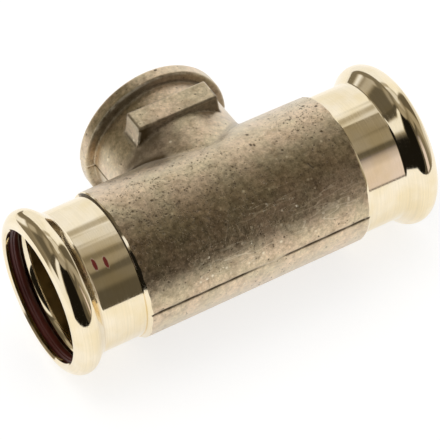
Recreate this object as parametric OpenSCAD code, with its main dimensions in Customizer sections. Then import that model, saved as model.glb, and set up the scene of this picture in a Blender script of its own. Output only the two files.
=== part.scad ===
// Press tee fitting: a cast run with a press end at each mouth and a threaded branch.
// The run lies along X, the branch leaves along +Y, and the two axes cross at the origin.

/* [Press ends] */
// Length of the run, from mouth to mouth
run_len = 104; // [96:0.5:130]
// Outside diameter of the tube that slides into each end
tube_d = 35; // [33.5:0.1:42]
// Clearance between the tube and its socket, on the radius
socket_clearance = 0.1; // [0.05:0.01:0.4]
// Depth of the tube socket, from the mouth to the stop shoulder
socket_depth = 26; // [21:0.5:34]
// Wall of the turned band behind the bead
band_wall = 1.1; // [0.7:0.05:2.5]
// Radius of the rounded bead in section
bead_round = 3.75; // [3.2:0.05:4.5]
// Wall of the bead over the seal groove
bead_wall = 1.15; // [0.7:0.05:2]
// Radius of the hollow between bead and band
bead_fillet = 2; // [0.6:0.1:4]
// Thickness of the lip between the mouth and the seal groove
lip_thickness = 1.35; // [1:0.05:1.8]
// Bevel inside the mouth that leads the tube in
mouth_bevel = 0.5; // [0.2:0.05:0.8]

/* [Seal rings] */
// Thickness of the seal ring's cord
ring_cord = 3.2; // [2.6:0.05:3.6]
// How far the seal ring stands into the socket
ring_stand = 0.2; // [0.05:0.01:0.3]
// Gap between the seal ring and its groove
groove_clearance = 0.1; // [0.04:0.01:0.3]

/* [Cast run] */
// Length of the as-cast middle between the two turned ends
cast_len = 64; // [54:0.5:74]
// Step from the turned band up to the as-cast skin
cast_step = 0.9; // [0.3:0.05:2.5]
// Diameter of the waterway through the run
waterway_d = 32; // [20:0.5:34]

/* [Branch] */
// Distance from the run's axis to the branch mouth
branch_reach = 36.7; // [33:0.1:60]
// Nominal diameter of the branch thread, at its root
thread_d = 33.25; // [20.5:0.05:34.4]
// Pitch of the branch thread
thread_pitch = 2.309; // [1.3:0.001:2.4]
// Depth of the threaded part of the branch
thread_depth = 18; // [10:0.5:24]
// Bevel at the mouth of the thread
thread_bevel = 1.9; // [1.2:0.1:2.4]
// Wall of the neck outside the thread's root
neck_wall = 1.55; // [1:0.05:2]
// Diameter of the throat between thread and waterway
throat_d = 28; // [12:0.5:29]
// Radius of the blend between neck and run
neck_fillet = 2; // [1:0.1:4]
// Height of the collar above the neck
collar_height = 2.5; // [1:0.1:6]
// Width of the collar along the branch
collar_w = 3.8; // [2.5:0.1:8]
// Rounding of the collar's edges
collar_round = 0.7; // [0.2:0.05:1.2]

/* [Wrench bars] */
// Length of each wrench bar, along the run
bar_len = 22.4; // [12:0.2:28]
// Width of each wrench bar, along the branch
bar_w = 6.8; // [3:0.1:9]
// Height of each wrench bar above the neck
bar_height = 1.35; // [0.5:0.05:4]
// Gap between the wrench bars and the collar
bar_gap = 5.9; // [1:0.1:9]
// Rounding of the wrench bars' corners
bar_round = 0.5; // [0.1:0.05:1.2]
// Bevel along the wrench bars' top edges
bar_bevel = 0.3; // [0.1:0.05:0.8]
// Draft of the wrench bars' two ends, in degrees
bar_draft = 8; // [0:0.5:14]

/* [Parting line] */
// Width of the mould's parting line
parting_w = 0.5; // [0.2:0.05:1.2]
// Height of the mould's parting line
parting_h = 0.18; // [0.05:0.01:0.4]

/* [Hidden] */
$fn = 120;

// Depth by which joined shapes run into each other, and cuts run past a face
sink = 0.6;

// Press end
mouth_x = run_len / 2;
socket_r = tube_d / 2 + socket_clearance;
socket_x = mouth_x - socket_depth;
band_r = socket_r + band_wall;
ring_r = socket_r - ring_stand + ring_cord / 2;
groove_r = ring_cord / 2 + groove_clearance;
ring_x = mouth_x - lip_thickness - groove_r;
crown_r = ring_r + groove_r + bead_wall;
bead_r = crown_r - bead_round;
bead_x = mouth_x - bead_round;

// Hollow that touches both the bead and the band
hollow_r = band_r + bead_fillet;
hollow_back = sqrt(pow(bead_round + bead_fillet, 2) - pow(hollow_r - bead_r, 2));
hollow_x = bead_x - hollow_back;
hollow_top = bead_r + (hollow_r - bead_r) * bead_round / (bead_round + bead_fillet);

// Cast run and branch
cast_x = cast_len / 2;
body_r = band_r + cast_step;
waterway_r = waterway_d / 2;
root_r = thread_d / 2;
// Depth of a Whitworth pipe thread is 0.64033 of its pitch
crest_r = root_r - 0.64033 * thread_pitch;
thread_end_y = branch_reach - thread_depth;
throat_r = throat_d / 2;
neck_r = root_r + neck_wall;
collar_r = neck_r + collar_height;
collar_y = branch_reach - collar_w;
bar_y = collar_y - bar_gap - bar_w / 2;
bar_top = neck_r + bar_height;
bar_foot = neck_r / 2;
bar_slice_h = 0.05;

// Blend between neck and run: steps round the neck, steps across the blend,
// and how far its edges dip under the two skins
blend_steps = 72;
blend_arc_steps = 6;
blend_dip = 0.04;

bronze_cast = "#9a8a6a";
rubber_red = "#4a1d18";

// Turns a profile drawn as [radius, place along the axis] about the X axis
module turned_on_x() {
    rotate([0, 90, 0]) rotate_extrude() children();
}

// Turns a profile drawn as [radius, place along the axis] about the Y axis
module turned_on_y() {
    rotate([-90, 0, 0]) rotate_extrude() children();
}

// Rectangle with four round corners
module rounded_rectangle(size, round) {
    translate([round, 0]) square([size.x - 2 * round, size.y]);
    translate([0, round]) square([size.x, size.y - 2 * round]);
    for (x = [round, size.x - round], y = [round, size.y - round])
        translate([x, y]) circle(r = round);
}

// Outline of one press end: the band, the hollow and the bead
module press_end_outline() {
    translate([socket_r - sink, cast_x - sink])
        square([band_wall + sink, bead_x - cast_x + sink]);
    translate([bead_r, bead_x]) circle(r = bead_round);
    difference() {
        translate([band_r - sink, hollow_x])
            square([hollow_top - band_r + sink, bead_x - hollow_x]);
        translate([hollow_r, hollow_x]) circle(r = bead_fillet);
    }
}

// Room inside one press end: the socket, the seal groove and the bevelled mouth
module press_end_room() {
    translate([0, socket_x]) square([socket_r, socket_depth + sink]);
    translate([ring_r, ring_x]) circle(r = groove_r);
    translate([socket_r - sink, ring_x - groove_r])
        square([ring_r - socket_r + sink, 2 * groove_r]);
    translate([socket_r - sink, mouth_x - mouth_bevel])
        polygon([[0, 0], [sink, 0], [sink + mouth_bevel + sink, mouth_bevel + sink], [0, mouth_bevel + sink]]);
}

// Repeats its children at the right end of the run and, mirrored, at the left end
module at_both_ends() {
    children();
    mirror([1, 0, 0]) children();
}

// Outside of the cast run, grown by a skin
module run_outside(skin = 0) {
    rotate([0, 90, 0]) cylinder(r = body_r + skin, h = cast_len, center = true);
}

// Outside of the branch, grown by a skin: the neck and the collar
module branch_outside(skin = 0) {
    rotate([-90, 0, 0]) cylinder(r = neck_r + skin, h = collar_y + sink);
    turned_on_y() {
        translate([0, collar_y])
            square([collar_r + skin - collar_round, collar_w]);
        translate([neck_r - sink, collar_y])
            rounded_rectangle([collar_height + skin + sink, collar_w], collar_round);
    }
}

// Centre of a ball that rolls round the neck at an angle, and touches both neck and run
function ball_centre(angle) =
    let (
        x = (neck_r + neck_fillet) * cos(angle),
        z = (neck_r + neck_fillet) * sin(angle)
    ) [x, sqrt(pow(body_r + neck_fillet, 2) - z * z), z];

// Directions from the ball's centre to the run and to the neck
function towards_run(centre) = -[0, centre.y, centre.z] / norm([centre.y, centre.z]);
function towards_neck(centre) = -[centre.x, 0, centre.z] / norm([centre.x, centre.z]);

// Point of the blend's arc, from the run at part 0 to the neck at part 1
function arc_point(centre, part) =
    let (
        from_run = towards_run(centre),
        to_neck = towards_neck(centre),
        span = acos(from_run * to_neck),
        direction = (sin((1 - part) * span) * from_run + sin(part * span) * to_neck) / sin(span)
    ) centre + (neck_fillet + blend_dip) * direction;

// One section of the blend: its arc, and a corner well inside the two skins
function blend_section(angle) =
    let (
        centre = ball_centre(angle),
        corner = centre + (neck_fillet + sink) * (towards_run(centre) + towards_neck(centre))
    ) [for (i = [0:blend_arc_steps]) arc_point(centre, i / blend_arc_steps), corner];

// Blend that a rolling ball leaves between the neck and the run
module neck_blend() {
    sections = [for (i = [0:blend_steps - 1]) blend_section(i * 360 / blend_steps)];
    count = blend_arc_steps + 2;
    points = [for (section = sections) each section];
    faces = [
        for (i = [0:blend_steps - 1], k = [0:count - 1])
            let (
                near = i * count,
                far = (i + 1) % blend_steps * count,
                next = (k + 1) % count
            ) each [
                [near + k, far + k, far + next],
                [near + k, far + next, near + next]
            ]
    ];
    polyhedron(points, faces, convexity = 6);
}

// Thin level slice of a wrench bar, with its top at a height and grown by two margins
module bar_slice(top, end_margin, side_margin) {
    size = [bar_len + 2 * end_margin, bar_w + 2 * side_margin];
    translate([-size.x / 2, bar_y - size.y / 2, top - bar_slice_h])
        linear_extrude(bar_slice_h) rounded_rectangle(size, bar_round, $fn = 32);
}

// Wrench bar on top of the neck, with drafted ends that run well into the neck
module wrench_bar() {
    hull() {
        bar_slice(bar_top, -bar_bevel, -bar_bevel);
        bar_slice(bar_top - bar_bevel, 0, 0);
        bar_slice(bar_foot, (bar_top - bar_foot) * tan(bar_draft), 0);
    }
}

// Fine raised line where the two mould halves met
module parting_line() {
    intersection() {
        translate([0, 0, -parting_w / 2])
            linear_extrude(parting_w)
                translate([-cast_x, -body_r - sink])
                    square([cast_len, body_r + sink + branch_reach]);
        union() {
            run_outside(parting_h);
            branch_outside(parting_h);
        }
    }
}

// Room in the branch: the bevelled mouth, the thread's bore and the throat
module branch_room() {
    rotate([-90, 0, 0]) {
        cylinder(r = throat_r, h = branch_reach);
        translate([0, 0, thread_end_y]) cylinder(r = crest_r, h = thread_depth + sink);
        translate([0, 0, branch_reach - thread_bevel])
            cylinder(r1 = crest_r, r2 = crest_r + thread_bevel + sink, h = thread_bevel + sink);
    }
}

// Casting with its turned press ends
module tee_body() {
    color(bronze_cast)
    difference() {
        union() {
            run_outside();
            branch_outside();
            neck_blend();
            parting_line();
            wrench_bar();
            mirror([0, 0, 1]) wrench_bar();
            at_both_ends() turned_on_x() press_end_outline();
        }
        rotate([0, 90, 0]) cylinder(r = waterway_r, h = run_len - 2 * socket_depth + 2 * sink, center = true);
        at_both_ends() turned_on_x() press_end_room();
        branch_room();
    }
}

// Rubber seal that lies in the groove of the right bead
module seal_ring() {
    color(rubber_red)
    turned_on_x() translate([ring_r, ring_x]) circle(r = ring_cord / 2);
}

module seal_ring_right() {
    seal_ring();
}

module seal_ring_left() {
    mirror([1, 0, 0]) seal_ring();
}

tee_body();
seal_ring_left();
seal_ring_right();
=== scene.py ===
"""Press tee fitting: a cast gunmetal run with two turned press ends, two seal rings and a threaded branch."""

import math
from types import SimpleNamespace

import bpy
import numpy as np
from bpy.props import FloatProperty, FloatVectorProperty, IntProperty, PointerProperty
from mathutils import Matrix, Vector


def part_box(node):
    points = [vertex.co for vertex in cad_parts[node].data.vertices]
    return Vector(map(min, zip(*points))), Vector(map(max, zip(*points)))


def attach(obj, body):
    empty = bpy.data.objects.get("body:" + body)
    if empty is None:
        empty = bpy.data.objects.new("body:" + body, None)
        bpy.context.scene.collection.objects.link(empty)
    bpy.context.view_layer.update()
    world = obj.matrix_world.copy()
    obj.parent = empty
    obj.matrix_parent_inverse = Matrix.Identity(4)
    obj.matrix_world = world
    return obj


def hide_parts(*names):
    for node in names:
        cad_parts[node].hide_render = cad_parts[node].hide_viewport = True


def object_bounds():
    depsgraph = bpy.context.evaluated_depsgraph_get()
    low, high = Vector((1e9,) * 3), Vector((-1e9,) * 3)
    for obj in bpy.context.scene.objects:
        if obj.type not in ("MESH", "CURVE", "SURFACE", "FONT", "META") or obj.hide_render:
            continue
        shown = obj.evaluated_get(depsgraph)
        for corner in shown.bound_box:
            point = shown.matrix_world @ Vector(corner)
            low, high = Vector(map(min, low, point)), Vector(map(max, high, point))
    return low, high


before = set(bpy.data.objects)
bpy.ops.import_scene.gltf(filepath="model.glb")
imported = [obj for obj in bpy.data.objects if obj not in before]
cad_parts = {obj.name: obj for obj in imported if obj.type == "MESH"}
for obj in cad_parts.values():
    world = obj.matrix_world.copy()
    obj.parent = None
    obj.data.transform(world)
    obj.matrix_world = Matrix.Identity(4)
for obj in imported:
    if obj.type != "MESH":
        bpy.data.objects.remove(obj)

bl_info = {
    "name": "Press tee fitting",
    "version": (1, 0, 0),
    "blender": (4, 5, 0),
    "location": "3D View > Sidebar > Press tee",
    "description": "Makes a cast press tee with turned ends, seal rings and a pipe thread",
    "category": "Object",
}

MM = 0.001
CAD_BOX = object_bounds()
BODY_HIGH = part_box("tee_body")[1]


def to_linear(hex_colour):
    """Turns an sRGB hex colour into a linear colour with full alpha."""
    channels = [int(hex_colour[i:i + 2], 16) / 255 for i in (1, 3, 5)]
    linear = [c / 12.92 if c <= 0.04045 else ((c + 0.055) / 1.055) ** 2.4 for c in channels]
    return (*linear, 1.0)


def length(name, description, default_mm):
    """Gives a length property whose default is written in millimetres."""
    return FloatProperty(
        name=name, description=description, default=default_mm * MM, unit="LENGTH", precision=4
    )


def colour(name, description, default_hex):
    """Gives a colour property whose default is an sRGB hex value."""
    default = to_linear(default_hex)
    return FloatVectorProperty(
        name=name, description=description, default=default, size=4, min=0, max=1, subtype="COLOR"
    )


def factor(name, description, default):
    """Gives a property between 0 and 1."""
    return FloatProperty(
        name=name, description=description, default=default, min=0, max=1, subtype="FACTOR"
    )


class TeeSizes(bpy.types.PropertyGroup):
    """Sizes of the fitting, as in the part's source."""

    mouth_x: length("Half run", "From the branch axis to each mouth of the run", BODY_HIGH[0] / MM)
    crown_radius: length("Crown radius", "Radius over the crown of each bead", BODY_HIGH[2] / MM)
    bead_round: length("Bead rounding", "Radius of the bead in section", 3.75)
    flank_slope: FloatProperty(
        name="Flank slope",
        description="Slope of the straight flank between band and bead",
        default=math.radians(42.5),
        min=math.radians(20),
        max=math.radians(70),
        subtype="ANGLE",
    )
    flank_round: length("Flank rounding", "Radius of the corner between band and flank", 1.0)
    band_radius: length("Band radius", "Outside radius of the turned band", 18.7)
    socket_radius: length("Socket radius", "Inside radius of the tube socket", 17.6)
    socket_depth: length("Socket depth", "From the mouth to the tube stop", 26.0)
    mouth_bevel: length("Mouth bevel", "Bevel that leads the tube in", 0.45)
    ring_radius: length("Seal ring radius", "Radius of the seal ring, to the middle of its cord", 19.0)
    ring_cord: length("Seal ring cord", "Thickness of the seal ring's cord", 3.2)
    ring_x: length("Seal ring place", "From the branch axis to each seal ring", 48.95)
    groove_round: length("Groove rounding", "Radius of the seal groove in section", 1.7)
    lip_round: length("Lip rounding", "Radius of the lip between seal groove and socket", 2.5)
    lip_rise: length("Lip rise", "How far the lip opens from the socket to the groove", 1.3)
    cast_x: length("Half casting", "From the branch axis to each turned shoulder", 32.0)
    left_step: length("Left step", "Square step from the band to the left shoulder's bevel", 0.4)
    right_step: length("Right step", "Square step from the band to the right shoulder's bevel", 0.55)
    body_radius: length("Run radius", "Outside radius of the as-cast run", 19.6)
    waterway_radius: length("Waterway radius", "Radius of the waterway through the run", 16.0)
    branch_reach: length("Branch reach", "From the run axis to the branch mouth", BODY_HIGH[1] / MM)
    neck_radius: length("Neck radius", "Outside radius of the branch neck", 18.175)
    neck_fillet: length("Neck blend", "Radius of the blend between neck and run", 2.0)
    collar_radius: length("Collar radius", "Outside radius of the branch collar", 20.675)
    collar_width: length("Collar width", "Width of the collar along the branch", 3.8)
    collar_round: length("Collar rounding", "Rounding of the collar's edges", 0.7)
    bar_length: length("Bar length", "Length of each wrench bar at its top", 22.4)
    bar_width: length("Bar width", "Width of each wrench bar along the branch", 6.8)
    bar_y: length("Bar place", "From the run axis to the middle of the wrench bars", 23.6)
    bar_top: length("Bar height", "From the branch axis to the top of a wrench bar", 19.525)
    bar_round: length("Bar rounding", "Rounding of the wrench bars' edges", 0.45)
    thread_radius: length("Thread radius", "Radius of the pipe thread at its root", 16.625)
    crest_radius: length("Thread crest", "Radius of the pipe thread at its crest", 15.1465)
    thread_pitch: length("Thread pitch", "Pitch of the pipe thread", 2.309)
    thread_depth: length("Thread depth", "Depth of the threaded part of the branch", 18.0)
    thread_bevel: length("Thread bevel", "Bevel at the mouth of the thread", 1.9)
    throat_radius: length("Throat radius", "Radius of the throat between thread and waterway", 14.0)
    skin_step: length("Skin step", "Distance between the points of the cast skin", 0.55)
    turned_steps: IntProperty(
        name="Turned steps", description="Steps round each turned form", default=192, min=48
    )

    def in_mm(self):
        """Gives every length in millimetres."""
        plain = {name: getattr(self, name) for name in ("flank_slope", "turned_steps")}
        lengths = {name: getattr(self, name) / MM for name in TeeSizes.__annotations__ if name not in plain}
        return SimpleNamespace(**lengths, **plain)


class TeeFinish(bpy.types.PropertyGroup):
    """Colours and gloss of the fitting's finishes."""

    cast_khaki: colour("Casting, khaki", "Main colour of the cast skin", "#d6c5a4")
    cast_peach: colour("Casting, peach", "Warmer patches of the cast skin", "#e1c9aa")
    cast_stain: colour("Casting, stain", "Brown blotches that heat and sand left on the cast skin", "#8f7755")
    # Colour of mould black and grime, also used for painted shade and shadow in the corners, the crease, on
    # the bars, the collar's back and the left step
    cast_grime_and_shade: colour("Casting, grime", "Mould black and dirt left in corners and pits", "#3a2a0e")
    # Colour of the painted sheen at a low angle
    cast_sheen: colour("Casting, dust", "Pale sheen of the cast skin at a low angle", "#ddd5c8")
    cast_rubbed: colour("Casting, rubbed", "Bright metal on rubbed edges and specks", "#efe2c6")
    cast_roughness: factor("Casting roughness", "Roughness of the cast skin", 0.36)
    turned_gold: colour("Turned, gold", "Main colour of the turned metal", "#eeddb8")
    turned_pale: colour("Turned, pale", "Paler patches of the turned metal", "#f3e6cc")
    turned_roughness: factor("Turned roughness", "Roughness of the turned metal", 0.07)
    bored_bronze: colour("Bored, bronze", "Colour of the bored waterway and the thread", "#c3ae7e")
    ink_red: colour("Ink", "Red ink of the two inspection strokes", "#6b1500")
    seal_red: colour("Seal", "Dark red of the seal rubber", "#4f1d13")
    floor_white: colour("Floor", "Colour of the studio floor", "#b4b3b1")


def set_inputs(tree, node, inputs):
    """Sets or links a node's inputs."""
    for key, value in dict(inputs).items():
        if isinstance(value, bpy.types.NodeSocket):
            tree.links.new(value, node.inputs[key])
        else:
            node.inputs[key].default_value = value


def add_node(tree, kind, inputs=(), **settings):
    """Adds a node, changes its settings, and sets or links its inputs."""
    node = tree.nodes.new(kind)
    for name, value in settings.items():
        setattr(node, name, value)
    set_inputs(tree, node, inputs)
    return node


def math_node(tree, operation, *values):
    """Gives the result of a math operation on one to three values."""
    return add_node(tree, "ShaderNodeMath", enumerate(values), operation=operation).outputs[0]


def fold(tree, operation, values):
    """Joins several values, one after the other, by a math operation."""
    joined = values[0]
    for value in values[1:]:
        joined = math_node(tree, operation, joined, value)
    return joined


def vector_math(tree, operation, *values, output="Vector"):
    """Gives the result of a math operation on one or two vectors."""
    return add_node(tree, "ShaderNodeVectorMath", enumerate(values), operation=operation).outputs[output]


def remap(tree, value, low, high, to_low=0.0, to_high=1.0):
    """Maps a value between two limits to one between two others, and holds it there."""
    inputs = enumerate((value, low, high, to_low, to_high))
    return add_node(tree, "ShaderNodeMapRange", inputs).outputs[0]


def mix_colours(tree, part, first, second, blend="MIX"):
    """Gives two colours, blended by the part that the second one has."""
    inputs = {0: part, 6: first, 7: second}
    return add_node(tree, "ShaderNodeMix", inputs, data_type="RGBA", blend_type=blend).outputs[2]


def per_metre(size_mm):
    """Gives a texture's scale from the size of its pattern in millimetres."""
    return 1 / (size_mm * MM)


def noise(tree, place, size_mm, detail, **more):
    """Gives a noise from 0 to 1 whose pattern has a size in millimetres."""
    inputs = {"Vector": place, "Scale": per_metre(size_mm), "Detail": detail, **more}
    return add_node(tree, "ShaderNodeTexNoise", inputs).outputs["Fac"]


def cell_pattern(tree, place, size_mm):
    """Gives the distance to the nearest cell's middle, and three random channels for each cell."""
    inputs = {"Vector": place, "Scale": per_metre(size_mm)}
    pattern = add_node(tree, "ShaderNodeTexVoronoi", inputs).outputs
    chance = add_node(tree, "ShaderNodeSeparateColor", {"Color": pattern["Color"]}).outputs
    return pattern["Distance"], chance


def attribute_value(tree, name):
    """Gives a mesh's own attribute."""
    return add_node(tree, "ShaderNodeAttribute", attribute_name=name).outputs["Fac"]


def bump(tree, height, strength, distance_mm):
    """Gives the normal of a surface with a fine relief."""
    inputs = {"Height": height, "Strength": strength, "Distance": distance_mm * MM}
    return add_node(tree, "ShaderNodeBump", inputs).outputs["Normal"]


def new_material(name):
    """Gives a material's tree with its shader and its Object coordinates."""
    material = bpy.data.materials.new(name)
    material.use_nodes = True
    tree = material.node_tree
    tree.nodes.clear()
    shader = add_node(tree, "ShaderNodeBsdfPrincipled")
    add_node(tree, "ShaderNodeOutputMaterial", {"Surface": shader.outputs["BSDF"]})
    place = add_node(tree, "ShaderNodeTexCoord").outputs["Object"]
    return material, tree, shader, place


def mesh_object(name, points_mm, faces=(), edges=()):
    """Adds an object with a mesh whose points are in millimetres."""
    mesh = bpy.data.meshes.new(name)
    mesh.from_pydata(np.asarray(points_mm) * MM, edges, faces)
    mesh.update()
    made = bpy.data.objects.new(name, mesh)
    bpy.context.scene.collection.objects.link(made)
    return made


def new_node_tree(name, inputs):
    """Gives an empty geometry tree with its group input and output, and its named inputs."""
    tree = bpy.data.node_groups.new(name, "GeometryNodeTree")
    tree.interface.new_socket("Geometry", in_out="INPUT", socket_type="NodeSocketGeometry")
    for label, kind in inputs:
        tree.interface.new_socket(label, in_out="INPUT", socket_type=kind)
    tree.interface.new_socket("Geometry", in_out="OUTPUT", socket_type="NodeSocketGeometry")
    return tree, add_node(tree, "NodeGroupInput").outputs


def end_node_tree(tree, geometry, material):
    """Ends a geometry tree in Realize Instances and Set Material."""
    whole = add_node(tree, "GeometryNodeRealizeInstances", {"Geometry": geometry})
    dressed = add_node(
        tree, "GeometryNodeSetMaterial", {"Geometry": whole.outputs["Geometry"], "Material": material}
    )
    add_node(tree, "NodeGroupOutput", {"Geometry": dressed.outputs["Geometry"]})


def run_tree(made, tree, values):
    """Runs a geometry tree on an object, and keeps the result as its plain mesh."""
    modifier = made.modifiers.new(tree.name, "NODES")
    modifier.node_group = tree
    for item in tree.interface.items_tree:
        if item.in_out == "INPUT" and item.name in values:
            modifier[item.identifier] = values[item.name]
    keep_result(made)


def keep_result(made):
    """Puts the evaluated mesh of an object in place of its modifiers."""
    depsgraph = bpy.context.evaluated_depsgraph_get()
    result = bpy.data.meshes.new_from_object(made.evaluated_get(depsgraph))
    if not result.polygons:
        raise RuntimeError(f"{made.name} came out empty")
    made.modifiers.clear()
    old = made.data
    made.data = result
    bpy.data.meshes.remove(old)


# Points of a swept form that lie closer together than this are one, in metres
MERGE_DISTANCE = 1e-6


def sweep(tree, given, path, start=(0.0, 0.0, 0.0), capped=False):
    """Ends a tree by sweeping the given profile along a path, closing the net and placing it."""
    upright = add_node(tree, "GeometryNodeSetCurveNormal", {"Curve": path.outputs["Curve"]}, mode="Z_UP")
    profile = add_node(tree, "GeometryNodeMeshToCurve", {"Mesh": given["Geometry"]})
    swept = add_node(
        tree,
        "GeometryNodeCurveToMesh",
        {
            "Curve": upright.outputs["Curve"],
            "Profile Curve": profile.outputs["Curve"],
            "Fill Caps": capped,
        },
    )
    closed = add_node(
        tree,
        "GeometryNodeMergeByDistance",
        {"Geometry": swept.outputs["Mesh"], "Distance": MERGE_DISTANCE},
    )
    placed = add_node(
        tree,
        "GeometryNodeTransform",
        {"Geometry": closed.outputs["Geometry"], "Translation": start, "Rotation": given["Turn"]},
    )
    end_node_tree(tree, placed.outputs["Geometry"], given["Material"])


def turned_tree():
    """Tree that turns an open profile of [radius, place] round an axis and closes its poles."""
    tree, given = new_node_tree(
        "turned form",
        [
            ("Steps", "NodeSocketInt"),
            ("Path Radius", "NodeSocketFloat"),
            ("Turn", "NodeSocketRotation"),
            ("Material", "NodeSocketMaterial"),
        ],
    )
    path = add_node(
        tree,
        "GeometryNodeCurvePrimitiveCircle",
        {"Resolution": given["Steps"], "Radius": given["Path Radius"]},
    )
    sweep(tree, given, path)
    return tree


def thread_tree():
    """Tree that sweeps a thread section along a right-hand helix."""
    tree, given = new_node_tree(
        "pipe thread",
        [
            ("Steps", "NodeSocketInt"),
            ("Turns", "NodeSocketFloat"),
            ("Radius", "NodeSocketFloat"),
            ("Height", "NodeSocketFloat"),
            ("Start", "NodeSocketVector"),
            ("Turn", "NodeSocketRotation"),
            ("Material", "NodeSocketMaterial"),
        ],
    )
    helix = add_node(
        tree,
        "GeometryNodeCurveSpiral",
        {
            "Resolution": given["Steps"],
            "Rotations": given["Turns"],
            "Start Radius": given["Radius"],
            "End Radius": given["Radius"],
            "Height": given["Height"],
            "Reverse": True,
        },
    )
    sweep(tree, given, helix, start=given["Start"], capped=True)
    return tree


# A turned form's path has this radius, and its profile is drawn from there
PATH_RADIUS = 10.0
ROUND_X = (0.0, -math.pi / 2, 0.0)
ROUND_Y = (math.pi / 2, 0.0, 0.0)


def turned_form(name, profile, turn, steps, material):
    """Turns a profile of [radius, place along the axis] in millimetres into a closed form."""
    points = [(radius - PATH_RADIUS, place, 0) for radius, place in profile]
    edges = [(i, i + 1) for i in range(len(points) - 1)]
    made = mesh_object(name, points, edges=edges)
    tree = turned_tree()
    run_tree(
        made,
        tree,
        {"Steps": steps, "Path Radius": PATH_RADIUS * MM, "Turn": turn, "Material": material},
    )
    bpy.data.node_groups.remove(tree)
    return made


def arc(centre, radius, start, stop, steps):
    """Points of an arc in a profile, with angles in degrees from the radial direction."""
    angles = np.radians(np.linspace(start, stop, steps + 1))
    return [(centre[0] + radius * math.cos(a), centre[1] + radius * math.sin(a)) for a in angles]


# How far a cutting tool reaches past a mouth, and a press end into the casting, in millimetres
OVER = 1.0


def press_end_profile(size):
    """Outside of the right press end, from the axis inside the casting to the axis at the mouth."""
    bead = (size.crown_radius - size.bead_round, size.mouth_x - size.bead_round)
    slope = size.flank_slope
    top_radius = bead[0] + size.bead_round * math.cos(slope)
    top_x = bead[1] - size.bead_round * math.sin(slope)
    foot_x = top_x - (top_radius - size.band_radius) / math.tan(slope)
    corner = (size.band_radius + size.flank_round, foot_x - size.flank_round * math.tan(slope / 2))
    start = size.cast_x - OVER
    corner_arc = arc(corner, size.flank_round, 180, 180 - math.degrees(slope), 6)
    bead_arc = arc(bead, size.bead_round, -math.degrees(slope), 90, 30)
    return [(0, start), (size.band_radius, start), *corner_arc, *bead_arc, (0, size.mouth_x)]


def run_room_profile(size):
    """Room through the whole run, from the axis past the left mouth to the axis past the right mouth."""
    groove_edge = 0.12
    stop_bevel = 0.3
    stop_x = size.mouth_x - size.socket_depth
    bevel_x = size.mouth_x - size.mouth_bevel
    wall = size.socket_radius
    outer = size.ring_x + size.groove_round
    inner = size.ring_x - size.groove_round
    groove = arc((size.ring_radius, size.ring_x), size.groove_round, -90, 90, 14)
    turn = math.acos(1 - size.lip_rise / size.lip_round)
    lip_middle = (wall + size.lip_round, inner - size.lip_round * math.sin(turn))
    lip = arc(lip_middle, size.lip_round, 180, 180 - math.degrees(turn), 10)
    half = [
        (size.waterway_radius, stop_x - stop_bevel),
        (size.waterway_radius + stop_bevel, stop_x),
        (wall, stop_x),
        *lip,
        *groove,
        (wall + groove_edge, outer),
        (wall, outer + groove_edge),
        (wall, bevel_x),
        (wall + size.mouth_bevel + OVER, size.mouth_x + OVER),
        (0, size.mouth_x + OVER),
    ]
    mirrored = [(radius, -place) for radius, place in reversed(half)]
    return mirrored + half


def branch_room_profile(size):
    """Room in the branch: throat, thread crest and bevelled mouth."""
    lead = 0.8
    foot = 4.0
    thread_end = size.branch_reach - size.thread_depth
    bevel_y = size.branch_reach - size.thread_bevel
    return [
        (0, foot),
        (size.throat_radius, foot),
        (size.throat_radius, thread_end - lead),
        (size.crest_radius, thread_end),
        (size.crest_radius, bevel_y),
        (size.crest_radius + size.thread_bevel + OVER, size.branch_reach + OVER),
        (0, size.branch_reach + OVER),
    ]


def thread_cutter(size, material):
    """Helical ridge that cuts the pipe thread: 55 degree flanks and a narrow rounded root."""
    flank = math.tan(math.radians(27.5))
    root_half = 0.19
    root_flat = root_half * 0.6
    tip = 0.12
    under = 0.25
    past_mouth = 2.0
    depth = size.thread_radius - size.crest_radius
    half = [
        (-depth - under, root_half + (depth + under) * flank),
        (-tip, root_half + tip * flank),
        (0, root_flat),
    ]
    points = [(away, -place, 0) for away, place in half]
    points += [(away, place, 0) for away, place in reversed(half)]
    count = len(points)
    made = mesh_object("thread_cutter", points, edges=[(i, (i + 1) % count) for i in range(count)])
    start_y = size.branch_reach - size.thread_depth + size.thread_pitch
    height = size.branch_reach + past_mouth - start_y
    tree = thread_tree()
    run_tree(
        made,
        tree,
        {
            "Steps": 96,
            "Turns": height / size.thread_pitch,
            "Radius": size.thread_radius * MM,
            "Height": height * MM,
            "Start": (0.0, start_y * MM, 0.0),
            "Turn": (-math.pi / 2, 0.0, 0.0),
            "Material": material,
        },
    )
    bpy.data.node_groups.remove(tree)
    return made


def rolled_join(a, b, lean, radius):
    """Joins two distances by a rolling ball's blend, where lean is the cosine between their normals."""
    u = radius - a
    v = radius - b
    spread = np.maximum(1 - lean ** 2, 1e-4)
    reach = np.sqrt(np.maximum(u * u + v * v - 2 * lean * u * v, 0) / spread)
    between = (u > lean * v) & (v > lean * u) & (u > 0) & (v > 0)
    return np.where(between, radius - reach, np.minimum(a, b))


def round_box(parts, radius):
    """Distance to a box with rounded edges, from how far a point is past each face."""
    parts = [part + radius for part in parts]
    outside = np.sqrt(sum(np.maximum(part, 0) ** 2 for part in parts))
    return outside + np.minimum(np.maximum.reduce(parts), 0) - radius


# The casting sits a little off the turned axis, so the step at each shoulder varies, in millimetres
CAST_OFF_Y = -0.16
CAST_OFF_Z = 0.04
BAR_DRAFT = math.tan(math.radians(8))
COLLAR_CORNER = 0.5
BAR_CORNER = 0.35
# What the branch face is cast too long, for turning
FACE_SPARE = 0.02


def bar_distance(points, size):
    """Distance in millimetres from points to the block that makes both wrench bars."""
    x, y, z = np.abs(points - (0, size.bar_y, 0)).T
    half_length = size.bar_length / 2 + (size.bar_top - z) * BAR_DRAFT
    return round_box([x - half_length, y - size.bar_width / 2, z - size.bar_top], size.bar_round)


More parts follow.
